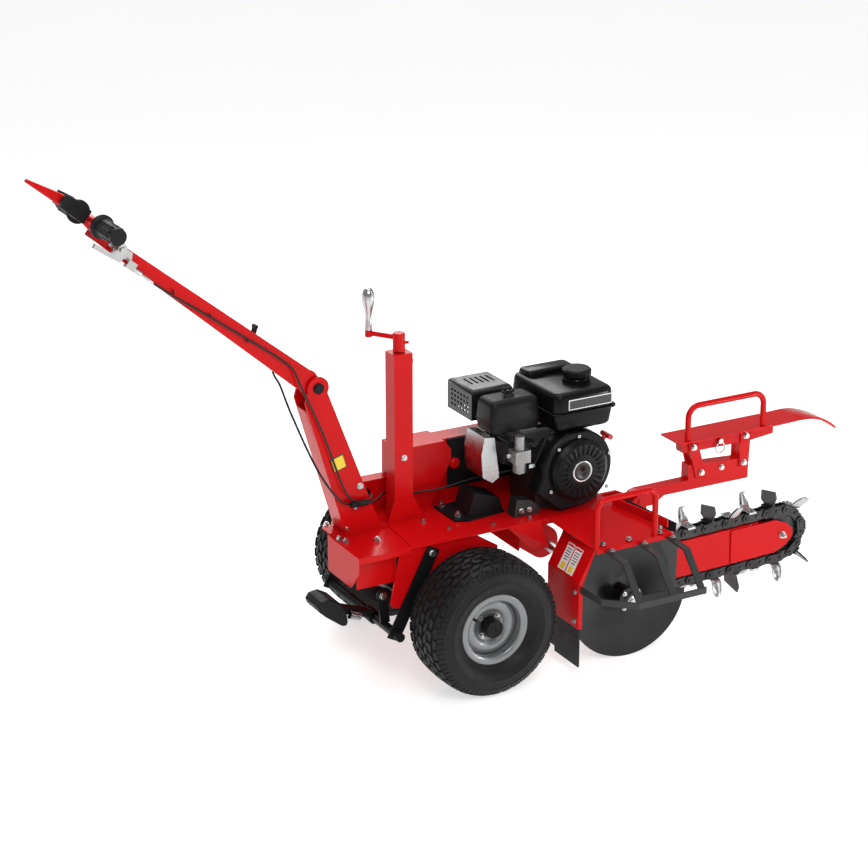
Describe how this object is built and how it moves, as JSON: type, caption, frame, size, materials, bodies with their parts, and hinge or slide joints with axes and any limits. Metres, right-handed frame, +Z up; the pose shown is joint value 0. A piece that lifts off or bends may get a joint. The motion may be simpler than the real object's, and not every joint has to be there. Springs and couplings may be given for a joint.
{
  "type": "trencher",
  "caption": "Walk-behind trencher with turf tyres, side engine, digging boom with chain and cutters, soil auger, trench-cleaning shoe, folding handle, crank jack and parking brake pedal",
  "frame": {"origin": "centre of the machine's whole footprint, on the ground under it", "axes": "+X runs from the handle toward the tip of the digging boom, +Y toward the side with the drive case, +Z up"},
  "size_m": [2.7758, 1.0866, 1.7475],
  "materials": {
    "red_paint": "glossy",
    "dark_paint": "satin",
    "black_coat": "satin",
    "rim_paint": "satin",
    "zinc": "satin",
    "steel": "brushed",
    "chain_steel": "oiled",
    "tool_steel": "bare",
    "cast_alloy": "cast",
    "polished_alloy": "polished",
    "tyre_rubber": "matte",
    "rubber": "matte",
    "black_plastic": "matte",
    "red_plastic": "satin",
    "grey_plastic": "matte"
  },
  "bodies": {
    "chassis": {"axle": "red_paint", "deck": "red_paint", "crank_post": "red_paint", "belt_guard": "red_paint", "boom_mount": "red_paint", "lower_handle": "red_paint", "fold_pin": "black_plastic", "clutch_cable_lower": "rubber", "throttle_cable_lower": "rubber", "mud_guard": "red_paint", "rubber_trim": "rubber", "auger_hood": "red_paint", "hood_handle": "red_paint", "guard_cage": "dark_paint", "boom_bar": "red_paint", "boom_nose": "red_paint", "chain_links": "chain_steel", "chain_pins": "chain_steel", "chain_cutters": "tool_steel", "engine_base": "dark_paint", "crankcase": "cast_alloy", "blower_housing": "grey_plastic", "fuel_tank": "black_coat", "air_cleaner": "black_plastic", "muffler": "dark_paint", "heat_shield": "zinc", "carburettor": "cast_alloy", "drive_belt": "rubber", "chassis_bolts": "zinc"},
    "wheel_near": {"tyre_near": "tyre_rubber", "rim_near": "rim_paint"},
    "wheel_far": {"tyre_far": "tyre_rubber", "rim_far": "rim_paint"},
    "crank": {"jack_screw": "red_paint"},
    "knob": {"crank_knob": "polished_alloy"},
    "leg": {"jack_leg": "dark_paint"},
    "upper_arm": {"upper_handle": "red_paint", "handle_grips": "rubber", "clutch_mount": "zinc", "throttle_mount": "black_plastic", "clutch_cable_upper": "rubber", "throttle_cable_upper": "rubber"},
    "presence": {"presence_lever": "red_paint"},
    "clutch": {"clutch_lever": "zinc"},
    "throttle": {"throttle_lever": "black_plastic"},
    "brake": {"brake_frame": "dark_paint"},
    "pedal": {"brake_pedal": "dark_paint", "pedal_pad": "rubber"},
    "digging_shaft": {"auger": "black_coat", "head_shaft": "steel"},
    "tail": {"tail_sprocket": "chain_steel"},
    "engine_shaft": {"crankshaft": "steel"},
    "counter": {"countershaft": "steel"},
    "crumber": {"crumber_arm": "red_paint", "shoe_plate": "red_paint", "crumber_handle": "red_paint", "crumber_bolts": "zinc"},
    "lynch": {"lynch_pin": "zinc"},
    "cap": {"fuel_cap": "black_plastic"},
    "starter": {"recoil_grip": "red_plastic"}
  },
  "joints": [
    {"name": "wheel_near_spin", "type": "hinge", "parent": "chassis", "child": "wheel_near", "pos_m": [-0.08407, -0.23934, 0.2286], "axis": [0, 1, 0], "continuous": true},
    {"name": "wheel_far_spin", "type": "hinge", "parent": "chassis", "child": "wheel_far", "pos_m": [-0.08407, 0.43666, 0.2286], "axis": [0, 1, 0], "continuous": true},
    {"name": "crank_turn", "type": "hinge", "parent": "chassis", "child": "crank", "pos_m": [-0.20107, 0.09866, 1.06], "axis": [0, 0, 1], "range_deg": [0, 9000]},
    {"name": "crank_knob_spin", "type": "hinge", "parent": "crank", "child": "knob", "pos_m": [-0.26206, 0.1864, 1.15], "axis": [0, 0, 1], "continuous": true},
    {"name": "jack_leg_slide", "type": "slide", "parent": "chassis", "child": "leg", "axis": [0, 0, -1], "range_m": [0, 0.15]},
    {"name": "handle_fold", "type": "hinge", "parent": "chassis", "child": "upper_arm", "pos_m": [-0.50407, 0.09866, 0.988], "axis": [0, 1, 0], "range_deg": [0, 85]},
    {"name": "clutch_squeeze", "type": "hinge", "parent": "upper_arm", "child": "clutch", "pos_m": [-1.1303, 0.03866, 1.52084], "axis": [0, 1, 0], "range_deg": [0, 18], "stiffness_Nm_per_rad": 1.5, "springref_deg": -17.19},
    {"name": "presence_press", "type": "hinge", "parent": "upper_arm", "child": "presence", "pos_m": [-1.26936, 0.09866, 1.66691], "axis": [0, 1, 0], "range_deg": [-8, 0], "stiffness_Nm_per_rad": 6, "springref_deg": 28.65},
    {"name": "throttle_turn", "type": "hinge", "parent": "upper_arm", "child": "throttle", "pos_m": [-0.68244, 0.15166, 1.14274], "axis": [0, 1, 0], "range_deg": [0, 40]},
    {"name": "pedal_press", "type": "hinge", "parent": "brake", "child": "pedal", "pos_m": [-0.33907, 0.03666, 0.196], "axis": [0, 1, 0], "range_deg": [-20, 0], "stiffness_Nm_per_rad": 20, "springref_deg": 28.65},
    {"name": "brake_swing", "type": "hinge", "parent": "chassis", "child": "brake", "pos_m": [-0.20907, 0.09866, 0.448], "axis": [0, 1, 0], "range_deg": [-2.8, 0]},
    {"name": "crankshaft_spin", "type": "hinge", "parent": "chassis", "child": "engine_shaft", "pos_m": [0.34093, 0.09866, 0.62], "axis": [0, 1, 0], "continuous": true},
    {"name": "countershaft_spin", "type": "hinge", "parent": "chassis", "child": "counter", "pos_m": [-0.08407, 0.21466, 0.59], "axis": [0, 1, 0], "continuous": true},
    {"name": "head_spin", "type": "hinge", "parent": "chassis", "child": "digging_shaft", "pos_m": [0.43993, -0.09134, 0.208], "axis": [0, 1, 0], "continuous": true},
    {"name": "tail_spin", "type": "hinge", "parent": "chassis", "child": "tail", "pos_m": [1.17497, -0.09134, 0.22211], "axis": [0, 1, 0], "continuous": true},
    {"name": "crumber_lift", "type": "hinge", "parent": "chassis", "child": "crumber", "pos_m": [0.58393, -0.08634, 0.458], "axis": [0, 1, 0], "range_deg": [-35, 0]},
    {"name": "lynch_swing", "type": "hinge", "parent": "crumber", "child": "lynch", "pos_m": [0.89893, -0.11434, 0.616], "axis": [0, 1, 0], "range_deg": [-30, 30]},
    {"name": "fuel_cap_turn", "type": "hinge", "parent": "chassis", "child": "cap", "pos_m": [0.42093, 0.03666, 0.89], "axis": [0, 0, 1], "range_deg": [0, 90]},
    {"name": "recoil_pull", "type": "slide", "parent": "chassis", "child": "starter", "axis": [0.829, 0, 0.5592], "range_m": [0, 0.25], "stiffness_N_per_m": 40, "springref_m": -0.3}
  ],
  "couplings": [
    {"joint": "jack_leg_slide", "follows": "crank_turn", "m_per_rad": 0.00095493},
    {"joint": "brake_swing", "follows": "pedal_press", "ratio": 0.14},
    {"joint": "countershaft_spin", "follows": "crankshaft_spin", "ratio": 0.46759},
    {"joint": "head_spin", "follows": "crankshaft_spin", "ratio": 0.1169},
    {"joint": "tail_spin", "follows": "crankshaft_spin", "ratio": 0.1169}
  ]
}
